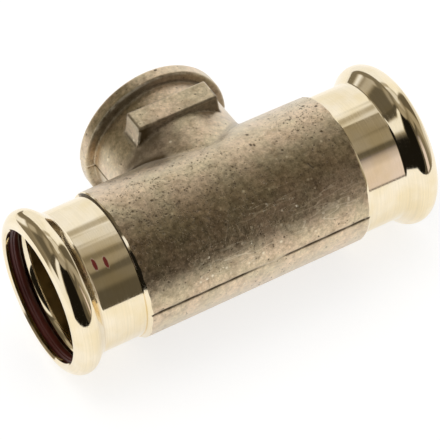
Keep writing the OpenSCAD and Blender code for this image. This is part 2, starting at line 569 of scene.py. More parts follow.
def casting_distance(points, size):
    """Distance in millimetres from points to the smooth skin of the casting."""
    x, y, z = points.T
    run_radius = np.hypot(y - CAST_OFF_Y, z - CAST_OFF_Z)
    neck_radius = np.hypot(x, z)
    run = run_radius - size.body_radius
    neck = np.maximum(neck_radius - size.neck_radius, -y)
    lean = z * z / np.maximum(run_radius * neck_radius, 1e-6)
    skin = rolled_join(run, neck, lean, size.neck_fillet)
    face = size.branch_reach + FACE_SPARE
    middle = face - size.collar_width / 2
    past_collar = [neck_radius - size.collar_radius, np.abs(y - middle) - size.collar_width / 2]
    collar = round_box(past_collar, size.collar_round)
    skin = rolled_join(np.maximum(skin, y - face), collar, np.zeros_like(x), COLLAR_CORNER)
    return rolled_join(skin, bar_distance(points, size), np.zeros_like(x), BAR_CORNER)


def slope_at(points, size, step=0.03):
    """Direction in which the casting's distance grows fastest."""
    slope = np.empty_like(points)
    for axis in range(3):
        shift = np.zeros(3)
        shift[axis] = step
        slope[:, axis] = casting_distance(points + shift, size) - casting_distance(points - shift, size)
    return slope / np.maximum(np.linalg.norm(slope, axis=1, keepdims=True), 1e-9)


def bend_at(points, size, step=0.6):
    """Bend of the casting's skin: above zero on an outer edge, below zero in a corner."""
    bend = -6 * casting_distance(points, size)
    for axis in range(3):
        shift = np.zeros(3)
        shift[axis] = step
        bend += casting_distance(points + shift, size) + casting_distance(points - shift, size)
    return bend / step ** 2


def graded_line(low, high, step, fine_places):
    """Grid places from low to high, closer together within reach of each fine place."""
    places = [low]
    while places[-1] < high:
        steps = [fine for place, reach, fine in fine_places if abs(places[-1] - place) < reach]
        places.append(places[-1] + min(steps, default=step))
    return np.array(places)


CORNERS = [(i, j, k) for i in (0, 1) for j in (0, 1) for k in (0, 1)]
CELL_EDGES = [
    (a, b)
    for a in CORNERS
    for b in CORNERS
    if sum(b) - sum(a) == 1 and sum(np.abs(np.subtract(a, b))) == 1
]


def net_quads(inside, number):
    """Quads of a net: one round each grid edge that leaves the form, through its four numbered cells."""
    quads = []
    for axis in range(3):
        u, v = (axis + 1) % 3, (axis + 2) % 3
        near = np.take(inside, np.arange(inside.shape[axis] - 1), axis)
        far = np.take(inside, np.arange(1, inside.shape[axis]), axis)
        edges = np.argwhere(near != far)
        leaving = near[tuple(edges.T)]
        around = []
        for du, dv in ((-1, -1), (0, -1), (0, 0), (-1, 0)):
            cell = edges.copy()
            cell[:, u] += du
            cell[:, v] += dv
            around.append(number[tuple(cell.T)])
        ring = np.stack(around, axis=1)
        ring[~leaving] = ring[~leaving][:, ::-1]
        quads.append(ring)
    return np.concatenate(quads)


def net_surface(distance, axes):
    """Wraps a closed net of quads round the points where a distance is below zero."""
    grid = np.stack(np.meshgrid(*axes, indexing="ij"), axis=-1)
    values = distance(grid.reshape(-1, 3)).reshape(grid.shape[:3])
    inside = values < 0
    wide, deep, tall = np.subtract(inside.shape, 1)
    count = np.zeros((wide, deep, tall), np.int8)
    for i, j, k in CORNERS:
        count += inside[i:wide + i, j:deep + j, k:tall + k]
    mixed = (count > 0) & (count < len(CORNERS))
    number = np.full(mixed.shape, -1)
    number[mixed] = np.arange(mixed.sum())
    cells = np.argwhere(mixed)
    total = np.zeros((len(cells), 3))
    hits = np.zeros(len(cells))
    for first, second in CELL_EDGES:
        start = tuple((cells + first).T)
        stop = tuple((cells + second).T)
        crossed = inside[start] != inside[stop]
        part = values[start] / np.where(crossed, values[start] - values[stop], 1)
        point = grid[start] + part[:, None] * (grid[stop] - grid[start])
        total[crossed] += point[crossed]
        hits += crossed
    return total / hits[:, None], net_quads(inside, number)


# Parting line of the mould: a fine groove, with the upper half a little proud, in millimetres
GROOVE_WIDTH = 0.33
GROOVE_DEPTH = 0.36
MISMATCH = 0.07
MISMATCH_WIDTH = 0.12
MISMATCH_REACH = 5
# Where the line fades on the run's front, and how far it fades there and on the collar
FADE_X = 2.5
FADE_REACH = 4.5
FRONT_FADE = 0.93
COLLAR_FADE = 0.7
# Heights of the skin's relief, and the stock that the branch mouth has to spare, in millimetres
WAVE_HEIGHT = 0.012
RIPPLE_HEIGHT = 0.002
RAGGED_HEIGHT = 0.035
RAGGED_X = 29.5
RAGGED_REACH = 1.5
MOUTH_STOCK = 0.05


def parting_strength(points, size):
    """How clearly the parting line shows, from 0 to 1: it fades in the middle of the run's front."""
    x, y, _ = points.T
    collar_y = size.branch_reach - size.collar_width - 0.1
    faded = np.exp(-((x - FADE_X) / FADE_REACH) ** 2) * (y < 0)
    wavering = 0.85 + 0.15 * np.sin(x * 0.9 + 1.3)
    return wavering * (1 - FRONT_FADE * faded) * (1 - COLLAR_FADE * (y > collar_y))


def skin_relief(points, outward, size):
    """Height that the casting's skin stands off its smooth form, in millimetres."""
    x, y, z = points.T
    wave = (
        np.sin(0.31 * x + 0.7 * np.sin(0.23 * z) + 1.0)
        + np.sin(0.37 * y + 0.9 * np.sin(0.19 * x) + 2.0)
        + np.sin(0.43 * z + 0.8 * np.sin(0.29 * y) + 4.0)
    )
    ripple = np.sin(1.3 * x + 1.7 * y) * np.sin(1.5 * z - 1.1 * x)
    height = WAVE_HEIGHT * wave + RIPPLE_HEIGHT * ripple
    sideways = np.clip(1.6 * (1 - np.abs(outward[:, 2])) - 0.5, 0, 1)
    strength = parting_strength(points, size) * sideways
    height -= GROOVE_DEPTH * np.exp(-(z / GROOVE_WIDTH) ** 2) * strength
    height += MISMATCH * np.tanh(z / MISMATCH_WIDTH) * np.exp(-np.abs(z) / MISMATCH_REACH) * sideways
    # The skin is a little ragged at the shoulders, where the tool met it
    around = np.arctan2(z, -y)
    ragged = np.sin(9 * around + 1) + np.sin(17 * around + 2.2) + np.sin(31 * around)
    height += RAGGED_HEIGHT * ragged * np.clip(np.abs(x) - RAGGED_X, 0, RAGGED_REACH) / RAGGED_REACH
    height += pit_relief(points, size)
    # The branch mouth has stock to spare, so that its face is turned all over
    faced = ramp(outward[:, 1], 0.6, 0.3) * (y > size.branch_reach - 1)
    return height + faced * (MOUTH_STOCK - height)


# Middles of the clusters of larger pits, in millimetres
PIT_CLUSTERS = [(-12, -9, 17), (2, -4, 19), (18, 3, 19), (-4, -17, 9), (22, -12, 15), (-18, 10, -16)]


def pit_relief(points, size):
    """Larger gas pits of the casting: shallow dimples, half of them in a few clusters."""
    draws = np.random.default_rng(41)
    clusters = np.array(PIT_CLUSTERS)
    count = 40
    spread = 6
    middles = clusters[draws.integers(0, len(clusters), count)] + draws.normal(0, spread, (count, 3))
    loose = np.column_stack(
        [draws.uniform(-31, 31, count), draws.uniform(-20, 36, count), draws.uniform(-20, 20, count)]
    )
    middles = np.concatenate([middles, loose])
    middles -= casting_distance(middles, size)[:, None] * slope_at(middles, size)
    radii = draws.uniform(0.4, 0.6, len(middles))
    depths = draws.uniform(0.05, 0.14, len(middles))
    height = np.zeros(len(points))
    for middle, radius, depth in zip(middles, radii, depths):
        near = np.abs(points - middle).max(axis=1) < 3 * radius
        away = np.linalg.norm(points[near] - middle, axis=1)
        height[near] = np.minimum(height[near], -depth * np.exp(-(away / radius) ** 2))
    return height


def skin_axes(size):
    """Grid places along each axis, finer at the casting's edges and at its parting line."""
    margin = 2.0
    past_end = 1.5
    fine = 0.24
    finest = 0.1
    half_bar = size.bar_width / 2
    edges_x = [side * (size.bar_length / 2 + 0.3) for side in (-1, 1)]
    bar_edges = [size.bar_y - half_bar + 0.2, size.bar_y + half_bar - 0.2]
    collar_edges = [size.branch_reach - size.collar_width, size.branch_reach - 0.4]
    edges_z = [side * (size.bar_top - 0.2) for side in (-1, 1)]
    lines_x = [(place, 1.0, fine) for place in edges_x]
    lines_y = [(place, 0.7, fine) for place in bar_edges + collar_edges]
    lines_z = [(0, 0.7, finest)] + [(place, 0.6, fine) for place in edges_z]
    step = size.skin_step
    return [
        graded_line(-size.cast_x - past_end, size.cast_x + past_end, step, lines_x),
        graded_line(-size.body_radius - margin, size.branch_reach + margin, step, lines_y),
        graded_line(-size.collar_radius - margin, size.collar_radius + margin, step, lines_z),
    ]


def cast_skin(size):
    """Adds the closed skin of the casting, longer than it stays after turning."""
    cap_spare = 0.7
    free_spare = 0.4

    def capped(points):
        """Distance to the casting with flat caps at the ends of its run."""
        past_cap = np.abs(points[:, 0]) - size.cast_x - cap_spare
        return np.maximum(casting_distance(points, size), past_cap)

    points, quads = net_surface(capped, skin_axes(size))
    free = np.abs(points[:, 0]) < size.cast_x + free_spare
    skin = points[free]
    for _ in range(3):
        skin = skin - casting_distance(skin, size)[:, None] * slope_at(skin, size)
    outward = slope_at(skin, size)
    points[free] = skin + outward * skin_relief(skin, outward, size)[:, None]
    return mesh_object("tee_body_casting", points, quads.tolist())


def cut_box(size):
    """Box whose back face trims the casting to its turned branch mouth."""
    reach = 50
    low = np.array([-reach, -reach, -reach])
    high = np.array([reach, size.branch_reach, reach])
    points = [np.where(corner, high, low) for corner in CORNERS]
    faces = [(0, 1, 3, 2), (4, 6, 7, 5), (0, 4, 5, 1), (2, 3, 7, 6), (0, 2, 6, 4), (1, 5, 7, 3)]
    return mesh_object("cut_box", points, faces)


# How far each shoulder's bevel runs along the axis for each millimetre outward, and how high its middle sits
LEFT_SLOPE = 1.5
RIGHT_SLOPE = 1.9
BEVEL_OFF_Z = 0.3


def shoulder_trim_profile(size):
    """Form that trims the run: square at the band, then bevelled out to the cast skin."""
    wide = 70
    bevel = 1.2
    left_inner = bevel * LEFT_SLOPE - size.cast_x
    right_inner = size.cast_x - bevel * RIGHT_SLOPE
    left_foot = size.band_radius + size.left_step
    right_foot = size.band_radius + size.right_step
    return [
        (0, -size.cast_x),
        (left_foot, -size.cast_x),
        (left_foot + bevel, left_inner),
        (wide, left_inner),
        (wide, right_inner),
        (right_foot + bevel, right_inner),
        (right_foot, size.cast_x),
        (0, size.cast_x),
    ]


def on_shoulder(x, y, z, size):
    """Marks the places on the turned shoulders or past them."""
    run_radius = np.hypot(y, z - BEVEL_OFF_Z)
    step = np.where(x < 0, size.left_step, size.right_step)
    rise = np.maximum(run_radius - size.band_radius - step, 0)
    return np.abs(x) + rise * np.where(x < 0, LEFT_SLOPE, RIGHT_SLOPE) > size.cast_x - 0.02


CAST, TURNED, BORED = range(3)
# Places this close to a plane lie on it, in millimetres
TOUCH = 0.01
# The left step carries painted shade above this height
STEP_SHADE_Z = 12


def sort_faces(mesh, size):
    """Gives each face of the body its finish: cast, turned or bored."""
    count = len(mesh.polygons)
    middle = np.empty(count * 3)
    mesh.polygons.foreach_get("center", middle)
    x, y, z = middle.reshape(-1, 3).T / MM
    run_radius = np.hypot(y, z)
    branch_radius = np.hypot(x, z)
    finish = np.full(count, CAST)
    branch_mouth = size.crest_radius + size.thread_bevel + 0.2
    branch_foot = size.waterway_radius * 0.6
    finish[(branch_radius < branch_mouth) & (y > branch_foot)] = BORED
    waterway = size.waterway_radius + 0.32
    finish[(run_radius < waterway) & (np.abs(x) < size.cast_x)] = BORED
    lip_x = size.ring_x - size.groove_round - 1.5
    stop_x = size.mouth_x - size.socket_depth
    socket = (run_radius < size.socket_radius + 0.02) & (np.abs(x) < lip_x)
    finish[socket & (np.abs(x) > stop_x - TOUCH)] = BORED
    before_neck = y < size.waterway_radius * 1.3
    finish[on_shoulder(x, y, z, size) & before_neck & ~socket] = TURNED
    left_step = (np.abs(x + size.cast_x) < TOUCH) & (run_radius > size.band_radius)
    # Above that height the left step takes the cast finish, so that it carries the painted shade
    finish[left_step & (z > STEP_SHADE_Z)] = CAST
    finish[y > size.branch_reach - 0.001] = TURNED
    mesh.polygons.foreach_set("material_index", finish.astype(np.int32))


# How strong the grime and the painted shade lie at their strongest, from 0 to 1: painted shade on the left
# step, the bars' rims and the collar's back, painted shadow on the neck, grime on the bars' ends, and both in
# the corners
STEP_SHADE = 0.95
BAR_END_DIRT = 0.22
BAR_RIM_SHADE = 0.6
NECK_SHADOW = 0.9
COLLAR_SHADE = 0.85
COLLAR_TOP_SHADE = 0.45
CORNER_DIRT_AND_SHADE = 0.8
# How far the painted shadow on the neck lies off the bars, and the parting line's mould black and painted
# shadow off its groove, in millimetres
NECK_SHADOW_REACH = 7.5
LINE_DIRT_AND_SHADE_REACH = 0.5


def ramp(value, start, reach):
    """Rises from 0 at a start to 1 at its reach past it."""
    return np.clip((value - start) / reach, 0, 1)


def bar_shade_and_dirt(points, bend, size):
    """Painted shade on the wrench bars and painted shadow on the neck before them, grime on the bars' ends,
    and which points are on the bars' tops.
    """
    x, y, z = points.T
    bar = bar_distance(points, size)
    on_bar = bar < 0.1
    front_y = size.bar_y - size.bar_width / 2
    side = on_bar * ramp(size.bar_top - np.abs(z), 0.15, 0.5)
    # Painted shadow on the bars' fronts, darker to the left
    front = side * (y < front_y + 0.3) * np.clip(0.2 - x / 12, 0.7, 1)
    end = BAR_END_DIRT * side * (np.abs(x) > size.bar_length / 2 - 0.1)
    on_top = on_bar & (np.abs(z) > size.bar_top - 1.2)
    # Painted shade along the bars' top edges that face the front and the left
    rim = BAR_RIM_SHADE * on_top * ramp(bend, 0.4, 1) * ((y < size.bar_y) | (x < 0))
    # The neck before the bars carries painted shadow, darker before the bars' left half
    leftward = np.clip((1 - x) / 9, 0.12, 1)
    before = ramp(-y, -front_y - 1.6, 3.2) * ramp(y, 9, 3)
    neck = NECK_SHADOW * leftward * before * np.exp(-(np.maximum(bar, 0) / NECK_SHADOW_REACH) ** 2)
    return np.maximum.reduce([front, end, rim, neck]), on_top


def write_attribute(mesh, name, values):
    """Writes a value for each point of a mesh."""
    attribute = mesh.attributes.new(name, "FLOAT", "POINT")
    attribute.data.foreach_set("value", np.asarray(values, np.float32))


def mark_skin(mesh, size):
    """Writes how much grime and painted shade each point of the body carries, and how much it lies on a
    rubbed edge.
    """
    points = np.empty(len(mesh.vertices) * 3)
    mesh.vertices.foreach_get("co", points)
    points = points.reshape(-1, 3) / MM
    x, y, z = points.T
    bend = bend_at(points, size)
    turned = on_shoulder(x, y, z, size) & (y < size.body_radius + 1)
    # Painted shade on the left step, above a height
    step_shade = STEP_SHADE * (np.abs(x + size.cast_x) < TOUCH) * ramp(z, STEP_SHADE_Z, 2)
    bars_shade_and_dirt, bar_tops = bar_shade_and_dirt(points, bend, size)
    # Painted shade on the collar's back, lighter at its sides and its top than between them
    collar_y = size.branch_reach - size.collar_width
    turn = np.degrees(np.arctan2(np.abs(z), -x))
    shaded_part = ramp(turn, 12, 25)
    top_lift = (COLLAR_SHADE - COLLAR_TOP_SHADE) * ramp(turn, 80, 15)
    collar_back = (np.abs(y - collar_y) < 0.35) & (np.hypot(x, z) > size.neck_radius + 0.2)
    collar_shade = shaded_part * (COLLAR_SHADE - top_lift) * collar_back
    # Near the collar the painted shade in the corners follows the same turn
    near_collar = np.where(y > collar_y - 1.2, 0.1 + 0.9 * shaded_part, 1)
    # Grime and painted shade in the corners, darker where the skin bends in
    corner_dirt_and_shade = np.clip(-bend * 0.7, 0, CORNER_DIRT_AND_SHADE) * near_collar
    # Mould black and painted shadow along the parting line
    line = np.exp(-(z / LINE_DIRT_AND_SHADE_REACH) ** 2) * parting_strength(points, size) * (y < collar_y)
    dirt_and_shade = np.maximum.reduce([corner_dirt_and_shade, line, bars_shade_and_dirt, collar_shade])
    # The corner attribute carries grime and painted shade, and on the left step painted shade alone
    write_attribute(mesh, "corner", np.where(turned, step_shade, dirt_and_shade))
    write_attribute(mesh, "edge", np.where(turned | bar_tops, 0, ramp(bend, 0.25, 1.25)))


def away_from(tree, place, middle, reach):
    """How far a point lies from a mark's middle, where 1 is the mark's reach in millimetres on each axis."""
    offset = vector_math(tree, "SUBTRACT", place, [value * MM for value in middle])
    scaled = vector_math(tree, "MULTIPLY", offset, [per_metre(value) for value in reach])
    return vector_math(tree, "LENGTH", scaled, output="Value")


def crowd_field(tree, place, crowds):
    """How far a point lies from the nearest crowd, where 1 is a crowd's reach."""
    return fold(tree, "MINIMUM", [away_from(tree, place, *crowd) for crowd in crowds])


# Where the casting's pits and its rubbed specks crowd, in millimetres: middle and reach
PIT_CROWDS = [
    ((-22, -6, 19), (13, 13, 8)),
    ((-6, -4, 19), (12, 10, 8)),
    ((24, 4, 19), (8, 9, 8)),
    ((-8, -14, 13), (20, 8, 8)),
]
SPECK_CROWDS = [((19, -17, 9), (12, 7, 6)), ((-6, -18, 7), (12, 6, 5)), ((4, -14, 13), (10, 6, 6))]


# Single larger pits, in millimetres: middle and reach
PIT_MARKS = [
    ((10.6, 4.9, 19.0), (0.55, 0.7, 0.5)),
    ((9.2, 0.8, 19.6), (0.4, 0.6, 0.5)),
    ((9.9, 0.2, 19.6), (0.35, 0.5, 0.5)),
    ((28.1, 6.7, 18.4), (0.6, 0.5, 0.5)),
    ((30.4, 4.4, 19.1), (0.45, 0.45, 0.45)),
    ((26.7, -4.1, 19.2), (0.4, 0.4, 0.4)),
    ((15.0, -4.5, 19.1), (0.35, 0.35, 0.35)),
    ((22.1, 3.5, 19.3), (0.35, 0.4, 0.4)),
    ((-20.8, -2.8, 19.4), (0.45, 0.45, 0.45)),
    ((-15.0, -6.0, 18.7), (0.35, 0.4, 0.4)),
    ((-18.9, -8.6, 17.6), (0.4, 0.4, 0.4)),
    ((-22.0, -7.0, 18.3), (0.35, 0.35, 0.35)),
    ((-25.8, -0.8, 19.6), (0.35, 0.35, 0.35)),
    ((-26.4, -3.5, 19.3), (0.4, 0.4, 0.4)),
    ((2.2, 35.8, 20.6), (0.5, 0.4, 0.5)),
]
# Dark scratches, in millimetres: from and to, and half their width
SCRATCHES = [((-6.0, -13.8, 13.9), (-8.4, -16.5, 10.6)), ((19.0, -9.8, 17.0), (19.9, -11.4, 16.0))]
SCRATCH_HALF = 0.14


def scratch_field(tree, place, start, stop):
    """Gives 1 on a straight scratch between two places, and 0 away from it."""
    start, stop = Vector(start) * MM, Vector(stop) * MM
    half = (stop - start).length / 2
    offset = vector_math(tree, "SUBTRACT", place, start)
    along = vector_math(tree, "PROJECT", offset, stop - start)
    aside = vector_math(tree, "DISTANCE", offset, along, output="Value")
    away = vector_math(tree, "DISTANCE", place, (start + stop) / 2, output="Value")
    thin = remap(tree, aside, SCRATCH_HALF * MM, 2 * SCRATCH_HALF * MM, 1.0, 0.0)
    within = remap(tree, away, half * 0.8, half * 1.15, 1.0, 0.0)
    return math_node(tree, "MULTIPLY", thin, within)


# Where painted shadow lies along the joint between neck and run, in millimetres: middle and reach
CREASE_SHADOW = ((-12.5, 14.2, 13.3), (7.5, 8, 8))
# A reach that leaves an axis out of a distance
FAR = 1e6


def crease_shadow_field(tree, place, size):
    """Gives 1 for the painted shadow on the line where neck and run meet, at its left front, and 0 away from
    it.
    """
    run = away_from(tree, place, (0, CAST_OFF_Y, CAST_OFF_Z), (FAR, 1, 1))
    neck = away_from(tree, place, (0, 0, 0), (1, FAR, 1))
    apart = math_node(tree, "SUBTRACT", run, neck)
    off = math_node(tree, "SUBTRACT", apart, size.body_radius - size.neck_radius)
    # The painted shadow reaches further up the neck than out on the run
    on_neck = remap(tree, off, 0.4, 3.4, 1.0, 0.0)
    on_run = remap(tree, off, -0.9, -0.2)
    within = remap(tree, away_from(tree, place, *CREASE_SHADOW), 0.6, 1.1, 1.0, 0.0)
    return fold(tree, "MULTIPLY", [on_neck, on_run, within])


def skin_tint(tree, place, finish, patch, blotch, grain):
    """Colour of the clean cast skin: khaki with peach patches and brown stains, with painted shade where it
    faces the viewer and a painted sheen at a low angle.
    """
    warm = remap(tree, noise(tree, place, 7, 3), 0.38, 0.62)
    tint = mix_colours(tree, warm, finish.cast_khaki, finish.cast_peach)
    stained = remap(tree, blotch, 0.48, 0.72, 0.0, 0.42)
    tint = mix_colours(tree, stained, tint, finish.cast_stain)
    mottle = remap(tree, patch, 0.28, 0.72, 0.62, 1.22)
    salt = remap(tree, grain, 0.3, 0.7, 0.84, 1.14)
    salted = math_node(tree, "MULTIPLY", mottle, salt)
    # Painted shade and sheen: the skin is darker where it faces the viewer and paler at a low angle
    facing = add_node(tree, "ShaderNodeLayerWeight", {"Blend": 0.5}).outputs["Facing"]
    facing_shade = remap(tree, facing, 0.1, 0.34, -0.33, -0.02)
    edge_sheen = remap(tree, facing, 0.34, 0.66, 0.0, 0.2)
    sheen = math_node(tree, "ADD", facing_shade, edge_sheen)
    shade = math_node(tree, "ADD", salted, sheen)
    tint = mix_colours(tree, 1.0, tint, shade, "MULTIPLY")
    # Painted sheen: paler at a low angle
    pale = remap(tree, facing, 0.35, 0.8, 0.0, 0.45)
    return mix_colours(tree, pale, tint, finish.cast_sheen)


# Gas pits from a quarter to two thirds of a millimetre across: the size of a pit's cell in
# millimetres, and the pit's rim as a part of it
PIT_CELLS = [(0.5, 0.33), (0.85, 0.33), (1.7, 0.24)]


def pit_field(tree, place, patch, blotch):
    """Gives 1 in the casting's gas pits and dark scratches, and 0 away from them."""
    fringe = math_node(tree, "MULTIPLY_ADD", blotch, -1.4, crowd_field(tree, place, PIT_CROWDS))
    crowd = remap(tree, fringe, -0.5, 0.7, 0.4, 0.96)
    pits = []
    for cell_mm, rim in PIT_CELLS:
        distance, chance = cell_pattern(tree, place, cell_mm)
        picked = math_node(tree, "GREATER_THAN", chance["Red"], crowd)
        ragged = math_node(tree, "MULTIPLY_ADD", patch, 0.16, distance)
        spot = remap(tree, ragged, rim * 0.6 + 0.06, rim + 0.08, 1.0, 0.0)
        deep = remap(tree, chance["Blue"], 0.2, 0.8, 0.65, 1.0)
        pits.append(fold(tree, "MULTIPLY", [spot, deep, picked]))
    rough_rim = math_node(tree, "MULTIPLY_ADD", patch, 1.2, crowd_field(tree, place, PIT_MARKS))
    pits.append(remap(tree, rough_rim, 1.1, 1.7, 1.0, 0.0))
    pits += [scratch_field(tree, place, *ends) for ends in SCRATCHES]
    return fold(tree, "MAXIMUM", pits)


def rub_field(tree, place, blotch):
    """How far the skin is rubbed bright: specks and fine scratches in crowds, and worn edges."""
    crowd = crowd_field(tree, place, SPECK_CROWDS)
    # Bright specks where high grains were rubbed, about two thirds of a millimetre across
    distance, chance = cell_pattern(tree, place, 1.6)
    shy = remap(tree, crowd, 0.3, 1.3, 0.5, 0.97)
    chosen = math_node(tree, "GREATER_THAN", chance["Green"], shy)
    fleck = remap(tree, distance, 0.12, 0.3, 1.0, 0.0)
    speck = math_node(tree, "MULTIPLY", fleck, chosen)
    # Fine scratches from handling: where a drawn-out noise crosses its middle
    stretch = {"Vector": place, "Rotation": (0.5, 0.9, 0.4), "Scale": (0.16, 1.0, 1.0)}
    drawn = add_node(tree, "ShaderNodeMapping", stretch).outputs["Vector"]
    fibre = math_node(tree, "SUBTRACT", noise(tree, drawn, 1.7, 1), 0.5)
    thin = remap(tree, math_node(tree, "ABSOLUTE", fibre), 0.006, 0.022, 1.0, 0.0)
    where = remap(tree, crowd, 0.5, 1.3, 0.6, 0.0)
    scratch = math_node(tree, "MULTIPLY", thin, where)
    wear = remap(tree, blotch, 0.35, 0.65, 0.0, 0.5)
    worn = math_node(tree, "MULTIPLY", attribute_value(tree, "edge"), wear)
    rubbed = fold(tree, "MAXIMUM", [speck, scratch, worn])
    return math_node(tree, "MULTIPLY", rubbed, 0.85)


def cast_gunmetal(finish, size):
    """Sand-cast gunmetal: a dull khaki skin, mottled, pitted, with grime and painted shade in the corners and
    a painted sheen, bright where rubbed.
    """
    material, tree, shader, place = new_material("gunmetal_sand_cast")
    patch = noise(tree, place, 1.2, 5, Roughness=0.64)
    blotch = noise(tree, place, 2.6, 5, Distortion=0.4)
    grain = noise(tree, place, 0.45, 3, Roughness=0.7)
    clean = skin_tint(tree, place, finish, patch, blotch, grain)
    pit = pit_field(tree, place, patch, blotch)
    soft_pit = math_node(tree, "MULTIPLY", pit, 0.9)
    # Painted shadow in the crease between neck and run
    crease_shadow = crease_shadow_field(tree, place, size)
    # black: the crease's painted shadow, with the grime and painted shade of the corner attribute
    black = math_node(tree, "MAXIMUM", crease_shadow, attribute_value(tree, "corner"))
    # The dark mix holds the pits' grime and the painted shade together
    dirt_and_shade = math_node(tree, "MULTIPLY", math_node(tree, "MAXIMUM", soft_pit, black), 0.95)
    grimy_and_shaded = mix_colours(tree, dirt_and_shade, clean, finish.cast_grime_and_shade)
    rubbed = rub_field(tree, place, blotch)
    dull = remap(tree, patch, 0.3, 0.7, finish.cast_roughness - 0.05, finish.cast_roughness + 0.07)
    lumps = math_node(tree, "ADD", patch, grain)
    height = math_node(tree, "MULTIPLY_ADD", pit, -1.6, lumps)
    # Grime, mould black and painted shade are no metal
    bare = math_node(tree, "MULTIPLY_ADD", dirt_and_shade, -0.9, 1.0)
    inputs = {
        "Base Color": mix_colours(tree, rubbed, grimy_and_shaded, finish.cast_rubbed),
        "Metallic": bare,
        "Roughness": math_node(tree, "MULTIPLY_ADD", rubbed, -0.1, dull),
        "Specular IOR Level": 0.12,
        "Normal": bump(tree, height, 0.8, 0.05),
    }
    set_inputs(tree, shader, inputs)
    return material


# Two short inspection strokes of ink on the left band, in millimetres: middle and reach
INK_STROKES = [((-41.0, -10.6, 15.5), (0.55, 1.6, 1.6)), ((-38.2, -11.0, 15.2), (0.55, 1.6, 1.6))]


def turned_gunmetal(finish):
    """Gunmetal turned with a fine feed and buffed: pale gold, bright, with faint lines round the axis."""
    material, tree, shader, place = new_material("gunmetal_turned_and_buffed")
    along = add_node(tree, "ShaderNodeMapping", {"Vector": place, "Scale": (1.0, 0.02, 0.02)})
    # Feed lines lie about 0.12 mm apart, and are drawn at 0.3 mm so that they show
    feed = noise(tree, along.outputs["Vector"], 0.3, 3)
    tone = remap(tree, noise(tree, place, 7, 3), 0.35, 0.65)
    tint = mix_colours(tree, tone, finish.turned_gold, finish.turned_pale)
    lathe = remap(tree, feed, 0.3, 0.7, 0.96, 1.04)
    tint = mix_colours(tree, 1.0, tint, lathe, "MULTIPLY")
    fray = noise(tree, place, 0.7, 2)
    ragged = math_node(tree, "MULTIPLY_ADD", fray, 0.5, crowd_field(tree, place, INK_STROKES))
    ink = remap(tree, ragged, 1.1, 1.35, 1.0, 0.0)
    lines = remap(tree, feed, 0.3, 0.7, finish.turned_roughness - 0.03, finish.turned_roughness + 0.05)
    inputs = {
        "Base Color": mix_colours(tree, ink, tint, finish.ink_red),
        "Metallic": math_node(tree, "SUBTRACT", 1.0, ink),
        "Roughness": math_node(tree, "MULTIPLY_ADD", ink, 0.35, lines),
        "Normal": bump(tree, feed, 0.25, 0.006),
    }
    set_inputs(tree, shader, inputs)
    return material


def clouded(tree, main_colour, cloud, tones, glosses):
    """Shader inputs of one colour that soft clouds make paler and duller by turns."""
    tone = remap(tree, cloud, 0.3, 0.7, *tones)
    return {
        "Base Color": mix_colours(tree, 1.0, main_colour, tone, "MULTIPLY"),
        "Roughness": remap(tree, cloud, 0.3, 0.7, *glosses),
    }


def bored_gunmetal(finish):
    """Gunmetal as the boring bar and the tap leave it: satin, with fine chatter and oil stains."""
    material, tree, shader, place = new_material("gunmetal_bored_satin")
    inputs = clouded(tree, finish.bored_bronze, noise(tree, place, 4, 4), (0.75, 1.05), (0.26, 0.36))
    inputs["Metallic"] = 1.0
    inputs["Normal"] = bump(tree, noise(tree, place, 0.4, 2), 0.4, 0.015)
    set_inputs(tree, shader, inputs)
    return material


def seal_rubber(finish):
    """Moulded fluoro rubber: dark red, satin, with a faint bloom and a fine moulded grain."""
    material, tree, shader, place = new_material("fluoro_rubber_moulded")
    inputs = clouded(tree, finish.seal_red, noise(tree, place, 5, 3), (0.8, 1.25), (0.36, 0.5))
    inputs["Normal"] = bump(tree, noise(tree, place, 0.3, 2), 0.5, 0.02)
    set_inputs(tree, shader, inputs)
    return material


def shaping_steps(size, turned, bored):
    """Forms that shape the raw casting, in the order of work, each with its Boolean operation."""
    steps = size.turned_steps
    right = turned_form("right_end", press_end_profile(size), ROUND_X, steps, turned)
    left = turned_form("left_end", press_end_profile(size), ROUND_X, steps, turned)
    left.data.transform(Matrix.Rotation(math.pi, 4, "Z"))
    run_room = turned_form("run_room", run_room_profile(size), ROUND_X, steps, turned)
    branch_room = turned_form("branch_room", branch_room_profile(size), ROUND_Y, steps, bored)
    trim = turned_form("shoulder_trim", shoulder_trim_profile(size), ROUND_X, steps, turned)
    trim.data.transform(Matrix.Translation((0, 0, BEVEL_OFF_Z * MM)))
    return [
        (cut_box(size), "INTERSECT"),
        (trim, "INTERSECT"),
        (left, "UNION"),
        (right, "UNION"),
        (run_room, "DIFFERENCE"),
        (branch_room, "DIFFERENCE"),
        (thread_cutter(size, bored), "DIFFERENCE"),
    ]


# Edges of the body that turn more than this are shaded sharp
SHARP_ANGLE = math.radians(32)


class PRESSTEE_OT_body(bpy.types.Operator):
    """Makes the casting with its turned press ends, bores and pipe thread"""

    bl_idname = "press_tee.body"
    bl_label = "Casting"

    def execute(self, context):
        size = context.scene.press_tee_sizes.in_mm()
        finish = context.scene.press_tee_finish
        finishes = [cast_gunmetal(finish, size), turned_gunmetal(finish), bored_gunmetal(finish)]
        body = cast_skin(size)
        steps = shaping_steps(size, finishes[TURNED], finishes[BORED])
        for tool, operation in steps:
            modifier = body.modifiers.new(tool.name, "BOOLEAN")
            modifier.object = tool
            modifier.operation = operation
            modifier.solver = "MANIFOLD"
        keep_result(body)
        for tool, _ in steps:
            bpy.data.meshes.remove(tool.data)
        mesh = body.data
        mesh.materials.clear()
        for material in finishes:
            mesh.materials.append(material)
        sort_faces(mesh, size)
        mark_skin(mesh, size)
        mesh.shade_smooth()
        mesh.set_sharp_from_angle(angle=SHARP_ANGLE)
        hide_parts("tee_body")
        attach(body, "root")
        return {"FINISHED"}


